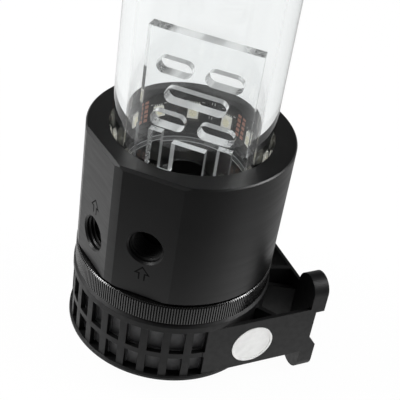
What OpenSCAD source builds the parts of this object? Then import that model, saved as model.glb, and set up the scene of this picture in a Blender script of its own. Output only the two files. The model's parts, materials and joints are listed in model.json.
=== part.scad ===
// Coolant pump reservoir: a clear tube on a round body with two threaded ports, over a wet-rotor
// pump that a knurled ring clamps to the body and a windowed holder carries on a bracket plate.
// Millimetres. The base is the underside of the motor, +Z is up, +X points to the bracket plate.

/* [Tube] */
// Outer diameter of the clear tube
tube_od = 60; // [56:1:64]
// Wall of the clear tube
tube_wall = 5; // [3:0.5:6]
// Length of the clear tube
tube_len = 108; // [90:1:160]

/* [Reservoir body] */
// Height of the body above the knurled ring
body_h = 53; // [52:1:66]
// Wall of the body outside the light groove
body_wall = 6.15; // [5.5:0.05:8]
// Depth of the light groove outside the tube
groove_depth = 3; // [2.6:0.1:3.6]
// Height of the light groove
groove_h = 11.6; // [10:0.2:14]
// Height of the lip over the light groove
lip_h = 2; // [1:0.2:4]
// Depth of the tube's foot below the light groove
socket_h = 6.4; // [5:0.2:9]
// Bevel on the turned edges
edge_bevel = 0.5; // [0.2:0.1:1]
// Diameter of the inlet hole in the chamber floor
inlet_d = 20; // [16:1:24]

/* [Ports] */
// Diameter of the ports over the thread roots
port_d = 13.16; // [11:0.02:14.4]
// Depth of the ports
port_depth = 12; // [10:0.5:13]
// Depth of the flats below the round face
flat_depth = 1.7; // [1:0.1:2.4]
// Direction of the inlet port
in_port_az = -133.7; // [-136:0.1:-126]
// Direction of the outlet port
out_port_az = -173.4; // [-180:0.1:-172]
// Diameter of the passage behind the inlet port
in_passage_d = 9; // [7:0.5:10]
// Diameter of the passage behind the outlet port
out_passage_d = 11.8; // [10:0.1:12]
// Bevel at the mouth of each port
port_bevel = 0.7; // [0.3:0.1:1]

/* [Light strip] */
// Number of light chips round the strip
led_count = 14; // [8:1:20]
// Side of a light chip
led_size = 5; // [4:0.1:5.4]
// Thickness of a light chip
led_t = 1.6; // [1:0.1:1.7]
// Height of the flexible strip
strip_h = 10.4; // [9:0.1:11]
// Thickness of the flexible strip
strip_t = 0.3; // [0.2:0.05:0.4]
// Direction of the first light chip
led_az = 63.2; // [50:0.1:80]

/* [Baffle] */
// Width of the baffle plate
baffle_w = 43; // [38:0.2:46]
// Thickness of the baffle plate
baffle_t = 5; // [2:0.5:5.5]
// Height of the baffle plate above the chamber floor
baffle_h = 57.6; // [52:0.2:80]
// Depth of the plate's slot in the chamber floor
baffle_slot = 1.5; // [1:0.1:2]
// Width of the middle foot notch
mid_notch_w = 13.3; // [10:0.1:15]
// Height of the middle foot notch
mid_notch_h = 13.3; // [8:0.1:14]
// Width of the side foot notches
side_notch_w = 5.4; // [4:0.1:6]
// Height of the side foot notches
side_notch_h = 16.4; // [10:0.1:17]
// Height of the plate's openings
slot_h = 6; // [4:0.5:8]
// Length of the paired openings
slot_w = 14; // [10:0.5:15]
// Length of the single middle opening
mid_slot_w = 24; // [16:0.5:28]

/* [Top cap] */
// Height of the top cap
cap_h = 22; // [18:0.5:30]
// Thickness of the cap above the tube
cap_roof = 12; // [10:0.5:14]

/* [Fill plug] */
// Diameter of the fill plug's head
plug_head_d = 20; // [19:0.2:24]
// Height of the fill plug's head
plug_head_h = 4.4; // [4:0.1:6]
// Depth of the head's recess in the cap
plug_recess = 3.5; // [2:0.1:4]
// Length of the fill plug's shank
plug_shank = 8; // [5:0.5:8]
// Size of the hexagon socket across its flats
plug_hex = 6; // [4:0.5:8]

/* [Pump] */
// Diameter of the motor housing
motor_d = 58.4; // [56:0.2:60]
// Diameter of the pump flange
flange_d = 64; // [63:0.2:65]
// Thickness of the pump flange
flange_t = 4; // [3:0.2:4.6]
// Wall of the motor housing
motor_wall = 2; // [1.4:0.1:2.6]
// Height of the motor end cap
end_cap_h = 9.5; // [8.6:0.1:9.8]
// Radius of the separating can's dome
dome_r = 14; // [12:0.1:14.4]
// Thickness of the separating can
can_t = 0.5; // [0.4:0.05:0.8]
// Radius of the bearing ball
ball_r = 2.2; // [1.8:0.1:2.6]
// Number of stator teeth
tooth_count = 6; // [3:1:6]
// Radius of a stator tooth
tooth_r = 2.6; // [2:0.1:2.8]

/* [Impeller] */
// Diameter of the impeller
impeller_d = 39; // [36:0.5:42]
// Height of the vanes between the shrouds
vane_h = 4; // [3:0.2:4.6]
// Number of vanes
vane_count = 6; // [3:1:7]
// Thickness of a vane
vane_t = 1.2; // [0.8:0.1:1.6]
// Thickness of the magnet round the dome
magnet_t = 2.7; // [2:0.1:3]

/* [Knurled ring] */
// Height of the knurled ring
ring_h = 8.7; // [8:0.1:10]
// Height of the lip under the pump flange
ring_lip_h = 3; // [2:0.1:3.4]
// Step of the knurled ring beyond the body
ring_step = 0.2; // [0:0.05:0.6]
// Gap between the knurled ring and the body
ring_gap = 1; // [0.4:0.1:1.6]
// Number of knurls
knurl_count = 240; // [120:4:300]
// Depth of a knurl
knurl_depth = 0.45; // [0.2:0.05:0.5]

/* [Holder] */
// Height of the holder's underside above the base
holder_lift = 10; // [9.9:0.1:12]
// Height of the holder
holder_h = 29.6; // [28:0.2:34]
// Wall of the windowed cage
cage_wall = 2.5; // [2.2:0.1:3]
// Wall of the cage between its windows
cage_skin = 1.9; // [1.4:0.1:2.1]
// Step of the holder's rim beyond the knurled ring
rim_step = 0.55; // [0.3:0.05:1]
// Height of the holder's rim above the windows
rim_h = 3.9; // [3:0.1:5]
// Height of the holder's lip below the windows
lip_band = 2.4; // [2:0.1:4]
// Number of window columns
window_cols = 14; // [8:1:14]
// Angle between window columns
window_pitch = 12.6; // [11:0.1:12.6]
// Angle that a window spans
window_span = 8.1; // [6:0.1:8.6]
// Height of the bar between the window rows
window_bar = 2.5; // [2:0.1:4]
// Share of the window height above the bar
upper_share = 0.53; // [0.4:0.01:0.6]

/* [Bracket] */
// Distance from the axis to the plate's front
plate_x = 44; // [43:0.1:50]
// Thickness of the plate
plate_t = 1.4; // [1:0.1:2.6]
// How far the arms run past the plate's back
plate_rim = 1.4; // [0.6:0.1:2]
// Height of the plate's top edge above the rim's underside
plate_rise = 5.1; // [4:0.1:8]
// Thickness of the two arms
arm_t = 1.5; // [1.2:0.1:2.4]
// Radius of the four ears
ear_r = 6.2; // [5:0.1:6.4]
// Depth of the four ears
ear_depth = 6.5; // [5.6:0.1:9]
// Height of the lower ears' centres above the base
ear_low_z = 6.5; // [6.5:0.1:8]
// Height between the ears' centres
ear_pitch_z = 35.6; // [34:0.1:37]
// Thickness of the ribs between cage and plate
rib_t = 1.8; // [1:0.1:2]
// Outer radius of the threaded inserts
insert_r = 2.8; // [2.4:0.1:3.2]
// Bore radius of the threaded inserts
insert_bore_r = 1.65; // [1.2:0.05:2]
// Diameter of the badge disc
badge_d = 17.5; // [12:0.1:18]

/* [Hidden] */
$fn = 96;

// Clearances
fit = 0.1;         // round pieces that slide into each other
slip = 0.05;       // small pins, screws and seals
overcut = 1;       // how far a cut runs past a face
merge = 0.2;       // how far parts of one solid reach into each other

// Levels from the base up
holder_top = holder_lift + holder_h;
ring_z = holder_top;
ring_top = ring_z + ring_h;
body_z = ring_top + ring_gap;
body_top = body_z + body_h;
groove_top = body_top - lip_h;
groove_z = groove_top - groove_h;
tube_z = groove_z - socket_h;
tube_top = tube_z + tube_len;
cap_top = tube_top + cap_roof;
cap_z = cap_top - cap_h;

// Radii of the tube, body, ring and holder
tube_r = tube_od / 2;
groove_r = tube_r + groove_depth;
lip_gap = 0.8;
lip_r = tube_r + lip_gap;
socket_r = tube_r + 1.5 * fit;
body_r = groove_r + body_wall;
flat_r = body_r - flat_depth;
ring_r = body_r + ring_step;
rim_r = ring_r + rim_step;
rim_overhang = 0.4;
cage_r = rim_r - rim_overhang;
cage_in_r = cage_r - cage_wall;
lip_step = 0.43;
lip_out_r = rim_r + lip_step;
motor_r = motor_d / 2;
flange_r = flange_d / 2;

// The pump's levels, from the face on which its flange is clamped
flange_z = ring_z + ring_lip_h;
can_disc_t = 0.6;
seat_z = flange_z + flange_t;
face_z = seat_z + can_disc_t;
dome_sink = 3.9;
dome_z = face_z - dome_sink;
dome_top = dome_z + dome_r;

// Neck of the body inside the knurled ring
neck_in_r = flange_r + 2 * fit;
neck_wall = 3.8;
neck_out_r = neck_in_r + neck_wall;
neck_z = flange_z + 3 * fit;

// O-rings
tube_seal_r = 1.0;
tube_seal_gap = 1.2;
pump_seal_r = 1.3;
pump_seal_ring_r = 29.5;
plug_seal_r = 0.85;
lower_seal_z = tube_z + socket_h / 2;
upper_seal_z = (cap_z + tube_top) / 2;

// Bearing and rotor
ball_lift = 3;
ball_z = dome_top + ball_lift;
post_rim = 0.2;
post_r = ball_r + post_rim;
post_drop = 0.8;
post_top = ball_z - post_drop;
cup_wall = 1.6;
cup_r = ball_r + cup_wall;
cup_h = 4;
rotor_gap = 0.7;
magnet_in_r = dome_r + rotor_gap;
magnet_out_r = magnet_in_r + magnet_t;
skirt_t = 1;
rotor_lift = 1.3;
rotor_z = face_z + rotor_lift;
skirt_lift = 2;
skirt_z = rotor_z + skirt_lift;
shroud_sink = 0.8;
shroud_z = dome_z + magnet_out_r - shroud_sink;
shroud_t = 1.2;
vane_z = shroud_z + shroud_t;
top_shroud_z = vane_z + vane_h;
impeller_top = top_shroud_z + shroud_t;
impeller_r = impeller_d / 2;
eye_r = 8;
hub_wall = 1.4;
hub_r = cup_r + hub_wall;
hub_roof = 0.8;
hub_top = ball_z + cup_h + hub_roof;
vane_r = 11;
vane_off = 9.5;

// Pump chamber and ports in the body
impeller_gap = 1;
chamber_top = impeller_top + impeller_gap;
volute_gap = 3.5;
chamber_r = impeller_r + volute_gap;
in_passage_r = in_passage_d / 2;
out_passage_r = out_passage_d / 2;
port_r = port_d / 2;
out_port_drop = 4.55;
out_port_z = chamber_top - out_port_drop;
in_port_rise = 4.2;
in_port_z = chamber_top + in_port_rise;
chamber_roof = 1.5;
in_passage_z = chamber_top + chamber_roof + in_passage_r;
inlet_r = inlet_d / 2;
inlet_bevel = 0.5;

// Light strip
led_z = groove_z + groove_h / 2;
strip_r = groove_r - slip;
strip_in_r = strip_r - strip_t;
chip_back = sqrt(pow(strip_in_r, 2) - pow(led_size / 2, 2)) - slip / 2;
led_cable_az = led_az + 180 / led_count;
cable_hole_r = 2.2;
grommet_rim = 1;
resistor_size = [0.5, 1.6, 0.8];
resistor_rise = 2;

// Baffle plate
baffle_az = in_port_az + 90;
wing_h = 17;
wing_w = 0.5;
slot_gap = 5;
slot_foot = 2.4;
slot_row_z = side_notch_h + slot_foot + slot_h / 2;
slot_row_pitch = slot_h + slot_gap;
leg_w = 4.4;
leg_x = mid_notch_w / 2 + leg_w + side_notch_w / 2;

// Motor
housing_z = end_cap_h;
housing_in_r = motor_r - motor_wall;
end_floor = 1.6;
spigot_h = 2;
spigot_t = 1.6;
yoke_drop = 20.3;
yoke_z = seat_z - yoke_drop;
yoke_t = 4;
ledge_t = 3;
boss_r = 3.2;
boss_inset = 0.4;
boss_ring_r = housing_in_r - boss_r - boss_inset;
boss_floor = 2;
cap_boss_wall = 0.8;
screw_count = 4;
screw_az = 45;
screw_r = 1.5;
screw_head_r = 2.7;
screw_head_t = 1.6;
screw_sink = 2.4;
screw_len = 12;
screw_socket_r = 1.1;
screw_socket_h = 1;
board_lift = 4.8;
board_z = end_cap_h + board_lift;
board_t = 1.6;
board_gap = 0.6;
board_r = boss_ring_r - boss_r - board_gap;
post_count = 3;
post_az = 60;
post_ring_r = 15;
post_pin_r = 2;
part_ring_r = 10.5;
can_part_az = 40;
can_part_r = 3;
can_part_h = 5;
chip_w = 7;
chip_t = 1.6;
block_az = 100;
block_w = 5;
block_h = 2.6;
tooth_ring_r = 7.5;
coil_t = 0.9;
core_rim = 1;
can_opening_rim = 0.5;
gland_z = (end_floor + end_cap_h) / 2;
gland_r = 2.25;
gland_bore_r = 1.6;
gland_wall = 0.5;
gland_len = 5;
gland_reach = 4;

// Holder and bracket
arm_z = holder_lift + lip_band;
window_z = arm_z - slip;
window_top = holder_top - rim_h;
cut_top = window_top - merge;
window_room = cut_top - window_z - window_bar;
upper_h = window_room * upper_share;
lower_h = window_room - upper_h;
arm_y = cage_r + 3 * fit;
arm_end = plate_x + plate_t + plate_rim;
arm_x = -1.6;
arm_root_az = 1.35;
first_window_az = -90 - (window_span / 2 + arm_root_az);
skin_r = cage_r - cage_skin;
lip_bevel = 0.8;
rim_bevel = 1.2;
plate_top = window_top + plate_rise;
ear_back = plate_x + ear_depth;
ear_y = arm_y - ear_r;
ear_high_z = ear_low_z + ear_pitch_z;
ear_drop = 8.5;
shelf_rise = 13.3;
shelf_fall = 4.9;
rib_root = 1;
mid_rib_az = 25.5;
mid_rib_lean = 14.6;
side_rib_az = 31.5;
side_rib_lean = 28.4;
corner_rib_az = 53.5;
insert_floor = 1.5;
insert_len = ear_depth - insert_floor;
badge_t = 1.2;
badge_sink = 1;
badge_rim_w = 0.8;
badge_rim_h = 0.25;
badge_share = 0.45;
badge_drop = 0.7;
badge_x = plate_x * badge_share;
badge_z = (arm_z + window_top) / 2 - badge_drop;
sleeve_in_r = motor_r + fit;
sleeve_out_r = cage_in_r - fit;
sleeve_band_t = 0.7;
sleeve_base_r = sleeve_out_r - sleeve_band_t;
sleeve_top = holder_top - 1;
sleeve_rib_w = 3;
belt_t = 0.6;
belt_z = window_z + lower_h + window_bar - belt_t;

// Fill plug
thread_gap = 0.08;
plug_r = port_r - thread_gap;
plug_socket = 3;
plug_head_r = plug_head_d / 2;
plug_seat = cap_top - plug_recess;
plug_seal_ring_r = (port_r + plug_head_r) / 2;

// A ring or disc between two levels
module tube_ring(r_out, r_in, z0, z1) {
    translate([0, 0, z0]) difference() {
        cylinder(r = r_out, h = z1 - z0);
        translate([0, 0, -overcut]) cylinder(r = r_in, h = z1 - z0 + 2 * overcut);
    }
}

// A solid cylinder between two levels
module disc(r, z0, z1) {
    translate([0, 0, z0]) cylinder(r = r, h = z1 - z0);
}

// A cylinder along X, turned to a direction round the axis
module radial_hole(r, x0, x1, z, az) {
    rotate([0, 0, az]) translate([x0, 0, z]) rotate([0, 90, 0]) cylinder(r = r, h = x1 - x0);
}

// A turned blank with both outer edges bevelled
module turned(r, z0, z1, bevel) {
    rotate_extrude() polygon([
        [0, z0], [r - bevel, z0], [r, z0 + bevel], [r, z1 - bevel], [r - bevel, z1], [0, z1]
    ]);
}

// An O-ring
module o_ring(ring_radius, r, z) {
    translate([0, 0, z]) rotate_extrude() translate([ring_radius, 0]) circle(r = r);
}

// A groove for a tube seal in a socket wall
module seal_groove(z) {
    disc(tube_r + 2 * tube_seal_r + 2 * slip, z - tube_seal_gap, z + tube_seal_gap);
}

// A flat with a bevelled top edge, cut from the body's side
module flat_cut(az) {
    bevel_side = 3 * edge_bevel;
    rotate([0, 0, az]) {
        translate([flat_r, -body_r, body_z - overcut]) cube([body_r, 2 * body_r, body_h + 2 * overcut]);
        translate([flat_r, 0, body_top]) rotate([0, 45, 0])
            cube([bevel_side, body_r, bevel_side], center = true);
    }
}

// A threaded port's bore, its bevel and the passage behind it
module port_cut(az, z, passage_r, passage_z, reach) {
    bore_end = flat_r - port_depth;
    radial_hole(port_r, bore_end, flat_r + overcut, z, az);
    radial_hole(passage_r, reach, bore_end + merge, passage_z, az);
    rotate([0, 0, az]) translate([flat_r - port_bevel, 0, z]) rotate([0, 90, 0])
        cylinder(r1 = port_r, r2 = port_r + 2 * port_bevel, h = 2 * port_bevel);
}

// Round body with its neck, tube socket, pump chamber, ports and flats
module reservoir_body() {
    color("#1e1e20") difference() {
        union() {
            turned(body_r, body_z, body_top, edge_bevel);
            disc(neck_out_r, neck_z, body_z + merge);
        }
        disc(lip_r, groove_top - merge, body_top + overcut);
        disc(groove_r, groove_z, groove_top);
        disc(socket_r, tube_z, groove_z + merge);
        seal_groove(lower_seal_z);
        disc(inlet_r, chamber_top - overcut, tube_z + overcut);
        translate([0, 0, tube_z - inlet_bevel])
            cylinder(r1 = inlet_r, r2 = inlet_r + 2 * inlet_bevel, h = 2 * inlet_bevel);
        disc(chamber_r, face_z - merge, chamber_top);
        disc(neck_in_r, neck_z - overcut, face_z);
        tube_ring(pump_seal_ring_r + pump_seal_r + fit, pump_seal_ring_r - pump_seal_r - fit,
            face_z - merge, face_z + 2 * pump_seal_r);
        flat_cut(in_port_az);
        flat_cut(out_port_az);
        port_cut(in_port_az, in_port_z, in_passage_r, in_passage_z, inlet_r / 2);
        port_cut(out_port_az, out_port_z, out_passage_r, out_port_z, chamber_r - 2 * overcut);
        rotate([0, 0, baffle_az]) translate([0, 0, tube_z])
            cube([baffle_w + 2 * wing_w + 2 * fit, baffle_t + 2 * fit, 2 * baffle_slot], center = true);
        radial_hole(cable_hole_r, tube_r + groove_depth / 2, body_r + overcut, led_z, led_cable_az);
    }
}

// Clear tube
module reservoir_tube() {
    color("#dfe9ee", 0.35) tube_ring(tube_r, tube_r - tube_wall, tube_z, tube_top);
}

// O-rings at the two ends of the tube
module tube_lower_seal() {
    color("#141414") o_ring(tube_r + tube_seal_r + slip, tube_seal_r, lower_seal_z);
}
module tube_upper_seal() {
    color("#141414") o_ring(tube_r + tube_seal_r + slip, tube_seal_r, upper_seal_z);
}

// Cap over the tube, with the threaded fill port
module top_cap() {
    color("#1e1e20") difference() {
        turned(body_r, cap_z, cap_top, edge_bevel);
        disc(socket_r, cap_z - overcut, tube_top);
        seal_groove(upper_seal_z);
        disc(port_r, tube_top - overcut, cap_top);
        disc(plug_head_r + 3 * fit, plug_seat, cap_top + overcut);
    }
}

// Plug of the fill port, with a hexagon socket and a seal groove under its head
module fill_plug() {
    head_z = plug_seat + fit;
    groove_half = plug_seal_r + 1.5 * fit;
    color("#2a2a2c") difference() {
        union() {
            turned(plug_head_r, head_z, head_z + plug_head_h, edge_bevel);
            turned(plug_r, plug_seat - plug_shank, head_z + merge, edge_bevel);
        }
        translate([0, 0, head_z + plug_head_h - plug_socket])
            cylinder(d = plug_hex / cos(30), h = plug_socket + overcut, $fn = 6);
        tube_ring(plug_seal_ring_r + groove_half, plug_seal_ring_r - groove_half,
            head_z - merge, plug_seat + 2 * plug_seal_r + 2 * slip);
    }
}
module fill_plug_seal() {
    color("#141414") o_ring(plug_seal_ring_r, plug_seal_r, plug_seat + plug_seal_r + slip);
}

// A slot with round ends, as a flat outline
module stadium(w, h) {
    square([w - h, h], center = true);
    for (side = [-1, 1]) translate([side * (w - h) / 2, 0]) circle(d = h);
}

// Clear plate that calms the flow, standing in a slot across the chamber floor
module baffle_plate() {
    color("#e8f2f6", 0.4) rotate([0, 0, baffle_az]) translate([0, baffle_t / 2, tube_z]) rotate([90, 0, 0])
        linear_extrude(height = baffle_t) difference() {
            union() {
                translate([-baffle_w / 2, -baffle_slot]) square([baffle_w, baffle_h + baffle_slot]);
                translate([-baffle_w / 2 - wing_w, -baffle_slot])
                    square([baffle_w + 2 * wing_w, wing_h + baffle_slot]);
            }
            translate([-mid_notch_w / 2, -overcut - baffle_slot])
                square([mid_notch_w, mid_notch_h + overcut + baffle_slot]);
            for (side = [-1, 1]) translate([side * leg_x - side_notch_w / 2, -overcut - baffle_slot])
                square([side_notch_w, side_notch_h + overcut + baffle_slot]);
            for (row = [0, 2], side = [-1, 1])
                translate([side * (slot_w + slot_gap) / 2, slot_row_z + row * slot_row_pitch])
                    stadium(slot_w, slot_h);
            translate([0, slot_row_z + slot_row_pitch]) stadium(mid_slot_w, slot_h);
        }
}

// Flexible light strip in the body's groove, its chips and resistors
module led_strip() {
    color("#20201f") tube_ring(strip_r, strip_in_r, led_z - strip_h / 2, led_z + strip_h / 2);
}
module led_chips() {
    color("#f4efdc") for (i = [0 : led_count - 1]) rotate([0, 0, led_az + i * 360 / led_count])
        translate([chip_back - led_t, -led_size / 2, led_z - led_size / 2]) cube([led_t, led_size, led_size]);
}
module led_resistors() {
    size = resistor_size;
    color("#3a3a3a") for (i = [1 : led_count - 1])
        rotate([0, 0, led_az + (i + 0.5) * 360 / led_count]) for (side = [-1, 1])
            translate([chip_back - size.x, -size.y / 2, led_z + side * resistor_rise - size.z / 2])
                cube(size);
}
module led_cable_grommet() {
    color("#141414") difference() {
        union() {
            radial_hole(cable_hole_r - slip, groove_r + slip, body_r + merge, led_z, led_cable_az);
            radial_hole(cable_hole_r + grommet_rim, body_r, body_r + grommet_rim, led_z, led_cable_az);
        }
        radial_hole(cable_hole_r / 2, groove_r - overcut, body_r + grommet_rim + overcut, led_z,
            led_cable_az);
    }
}

// O-ring between the pump and the body
module pump_seal() {
    color("#141414") o_ring(pump_seal_ring_r, pump_seal_r, face_z + pump_seal_r);
}

// One backswept vane: an arc cut off at the hub and the rim
module vane() {
    intersection() {
        translate([vane_off, 0, 0])
            tube_ring(vane_r + vane_t, vane_r, vane_z - merge, top_shroud_z + merge);
        translate([-impeller_r, 0, vane_z - overcut])
            cube([2 * impeller_r, impeller_r, vane_h + 2 * overcut]);
        tube_ring(impeller_r - slip, hub_r - merge, vane_z - overcut, top_shroud_z + overcut);
    }
}

// Closed impeller with a skirt over the rotor magnet
module impeller() {
    color("#2e2e30") difference() {
        union() {
            intersection() {
                translate([0, 0, dome_z]) sphere(r = magnet_out_r + skirt_t);
                disc(impeller_r, skirt_z, shroud_z + merge);
            }
            disc(impeller_r, shroud_z, vane_z);
            disc(hub_r, shroud_z + merge, hub_top);
            for (i = [0 : vane_count - 1]) rotate([0, 0, i * 360 / vane_count]) vane();
            tube_ring(impeller_r, eye_r, top_shroud_z, impeller_top);
        }
        translate([0, 0, dome_z]) sphere(r = magnet_out_r);
        disc(cup_r, shroud_z - overcut, ball_z + cup_h);
    }
}

// Magnet round the dome
module rotor_magnet() {
    color("#4a4a4e") difference() {
        intersection() {
            translate([0, 0, dome_z]) sphere(r = magnet_out_r);
            disc(magnet_out_r, rotor_z, dome_top + rotor_gap + magnet_t);
        }
        translate([0, 0, dome_z]) sphere(r = magnet_in_r);
        disc(cup_r + slip, dome_top - overcut, dome_top + magnet_t + overcut);
    }
}

// Ceramic cup in the hub, ball on its post, post on the dome
module bearing_cup() {
    color("#e6e2d8") difference() {
        disc(cup_r, ball_z, ball_z + cup_h);
        translate([0, 0, ball_z]) sphere(r = ball_r + fit);
    }
}
module bearing_ball() {
    color("#f2efe6") translate([0, 0, ball_z]) sphere(r = ball_r);
}
module bearing_post() {
    color("#b9bcc0") difference() {
        disc(post_r, dome_top - overcut, post_top);
        translate([0, 0, dome_z]) sphere(r = dome_r);
        translate([0, 0, ball_z]) sphere(r = ball_r);
    }
}

// Thin can between the water and the motor: a disc with a dome
module separating_can() {
    dome_in_r = dome_r - can_t;
    hole_r = sqrt(pow(dome_in_r, 2) - pow(seat_z - dome_z, 2));
    color("#b9bcc0") difference() {
        union() {
            disc(flange_r - slip, seat_z, face_z);
            intersection() {
                translate([0, 0, dome_z]) sphere(r = dome_r);
                disc(dome_r, seat_z, dome_top + overcut);
            }
        }
        translate([0, 0, dome_z]) sphere(r = dome_in_r);
        disc(hole_r, seat_z - overcut, seat_z + slip);
    }
}

// Motor housing with the clamped flange, an inner ledge and screw bosses
module motor_housing() {
    opening_r = dome_r - can_t - can_opening_rim;
    ledge_z = yoke_z - ledge_t;
    color("#262628") difference() {
        union() {
            disc(motor_r, housing_z, flange_z + merge);
            disc(flange_r, flange_z, seat_z);
        }
        difference() {
            disc(housing_in_r, housing_z - overcut, flange_z);
            tube_ring(housing_in_r + merge, boss_ring_r - boss_r, ledge_z, yoke_z);
            for (i = [0 : screw_count - 1]) rotate([0, 0, screw_az + i * 360 / screw_count])
                translate([boss_ring_r, 0, 0]) disc(boss_r, housing_z, ledge_z + merge);
        }
        disc(opening_r, flange_z - overcut, seat_z + overcut);
        for (i = [0 : screw_count - 1]) rotate([0, 0, screw_az + i * 360 / screw_count])
            translate([boss_ring_r, 0, 0]) disc(screw_r + slip, housing_z - overcut, ledge_z - boss_floor);
    }
}

// Stator: a yoke plate with round teeth that end under the dome
module stator_core() {
    color("#8a8d91") difference() {
        intersection() {
            union() {
                disc(housing_in_r - fit, yoke_z, yoke_z + yoke_t);
                for (i = [0 : tooth_count - 1]) rotate([0, 0, i * 360 / tooth_count])
                    translate([tooth_ring_r, 0, 0]) disc(tooth_r, yoke_z + yoke_t - merge, dome_top);
            }
            union() {
                translate([0, 0, dome_z]) sphere(r = dome_r - can_t - 4 * fit);
                disc(housing_in_r, yoke_z - overcut, dome_z);
            }
        }
        disc(tooth_ring_r - tooth_r - core_rim, yoke_z - overcut, yoke_z + yoke_t + overcut);
    }
}
module stator_coils() {
    color("#b5651d") for (i = [0 : tooth_count - 1]) rotate([0, 0, i * 360 / tooth_count])
        translate([tooth_ring_r, 0, 0])
            tube_ring(tooth_r + coil_t, tooth_r + slip, yoke_z + yoke_t, seat_z);
}

// Round circuit board on the end cap's posts, with its parts
module circuit_board() {
    color("#1f5a36") disc(board_r, board_z, board_z + board_t);
}
module board_parts() {
    top = board_z + board_t;
    color("#303034") {
        for (az = [-can_part_az, can_part_az]) rotate([0, 0, az]) translate([part_ring_r, 0, 0])
            disc(can_part_r, top, top + can_part_h);
        rotate([0, 0, 180]) translate([part_ring_r - chip_w / 2, -chip_w / 2, top])
            cube([chip_w, chip_w, chip_t]);
        for (az = [block_az, -block_az]) rotate([0, 0, az])
            translate([part_ring_r - block_w / 2, -chip_w / 2, top]) cube([block_w, chip_w, block_h]);
    }
}

// End cap under the motor, with board posts, screw bosses and the cable outlet
module motor_end_cap() {
    color("#262628") difference() {
        union() {
            difference() {
                turned(motor_r, 0, end_cap_h, edge_bevel);
                disc(motor_r - motor_wall, end_floor, end_cap_h + overcut);
            }
            tube_ring(housing_in_r - fit, housing_in_r - spigot_t, end_floor, end_cap_h + spigot_h);
            for (i = [0 : screw_count - 1]) rotate([0, 0, screw_az + i * 360 / screw_count])
                translate([boss_ring_r, 0, 0]) disc(boss_r + cap_boss_wall, end_floor - merge, end_cap_h);
            for (i = [0 : post_count - 1]) rotate([0, 0, post_az + i * 360 / post_count])
                translate([post_ring_r, 0, 0]) disc(post_pin_r, end_floor - merge, board_z);
        }
        for (i = [0 : screw_count - 1]) rotate([0, 0, screw_az + i * 360 / screw_count])
            translate([boss_ring_r, 0, 0]) {
                disc(screw_r + 2 * slip, -overcut, end_cap_h + overcut);
                disc(screw_head_r + 2 * slip, -overcut, screw_sink);
                disc(boss_r + 2 * slip, end_cap_h, end_cap_h + spigot_h + overcut);
            }
        radial_hole(gland_r + slip, motor_r - 2 * motor_wall, motor_r + overcut, gland_z, 0);
    }
}
module end_cap_screws() {
    color("#6d7075") for (i = [0 : screw_count - 1]) rotate([0, 0, screw_az + i * 360 / screw_count])
        translate([boss_ring_r, 0, 0]) difference() {
            union() {
                disc(screw_head_r, screw_sink - screw_head_t, screw_sink);
                disc(screw_r, screw_sink - merge, screw_sink + screw_len);
            }
            disc(screw_socket_r, screw_sink - screw_head_t - overcut,
                screw_sink - screw_head_t + screw_socket_h);
        }
}
module pump_cable_gland() {
    color("#141414") difference() {
        union() {
            radial_hole(gland_r, housing_in_r - spigot_t, motor_r + merge, gland_z, 0);
            translate([motor_r, 0, gland_z]) rotate([0, 90, 0])
                cylinder(r1 = gland_r + gland_wall, r2 = gland_bore_r + gland_wall, h = gland_len);
        }
        radial_hole(gland_bore_r, housing_in_r - gland_reach, motor_r + gland_len + overcut, gland_z, 0);
    }
}

// Knurled ring that screws onto the neck and clamps the pump flange
module retaining_ring() {
    step = 360 / knurl_count;
    // Shares of a step at which a knurl's flat and its groove begin and end, with their depth
    profile = [[0, 0], [0.46, 0], [0.6, 1], [0.86, 1]];
    color("#232325") difference() {
        intersection() {
            translate([0, 0, ring_z]) linear_extrude(height = ring_h) polygon([
                for (i = [0 : knurl_count - 1], corner = profile)
                    (ring_r - corner[1] * knurl_depth)
                        * [cos((i + corner[0]) * step), sin((i + corner[0]) * step)]
            ]);
            turned(ring_r + slip, ring_z, ring_top, edge_bevel + slip);
        }
        disc(neck_out_r + fit, flange_z, ring_top + overcut);
        disc(motor_r + 4 * fit, ring_z - overcut, flange_z + merge);
    }
}

// One column of windows through the cage
module window_column(i) {
    half_w = cage_r * sin(window_span / 2);
    cut_depth = cage_wall + 2 * overcut;
    rotate([0, 0, first_window_az - i * window_pitch]) {
        translate([cage_in_r - overcut, -half_w, window_z]) cube([cut_depth, 2 * half_w, lower_h]);
        translate([cage_in_r - overcut, -half_w, cut_top - upper_h]) cube([cut_depth, 2 * half_w, upper_h]);
    }
}

// Turned blank of the cage: lip, thin wall between the windows, and rim
module cage_blank() {
    rotate_extrude() polygon([
        [sleeve_in_r, holder_lift], [lip_out_r - lip_bevel, holder_lift],
        [lip_out_r, holder_lift + lip_bevel], [lip_out_r, arm_z - lip_bevel / 2], [cage_r, arm_z],
        [cage_r, window_top], [rim_r, window_top], [rim_r, holder_top - rim_bevel],
        [rim_r - rim_bevel, holder_top], [cage_in_r, holder_top], [cage_in_r, window_top],
        [skin_r, window_top], [skin_r, arm_z], [sleeve_in_r, arm_z]
    ]);
}

// A rib from the cage's wall at one direction, leaning to another
module rib(az, lean, run, z1) {
    rotate([0, 0, az]) translate([cage_r - rib_root, 0, arm_z - merge]) rotate([0, 0, lean - az])
        translate([0, -rib_t / 2, 0]) cube([run, rib_t, z1 - arm_z + merge]);
}

// Length of a rib that meets the plate, and of one that meets the arm
function plate_run(az, lean) = (plate_x + merge - (cage_r - rib_root) * cos(az)) / cos(lean);
function arm_run(az) = (arm_y - arm_t + merge) / sin(az) - cage_r + rib_root;

// Outline of an ear in its own plane
module ear_outline(low, high) {
    circle(r = ear_r);
    translate([-ear_r, low]) square([2 * ear_r, high - low]);
}

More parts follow.
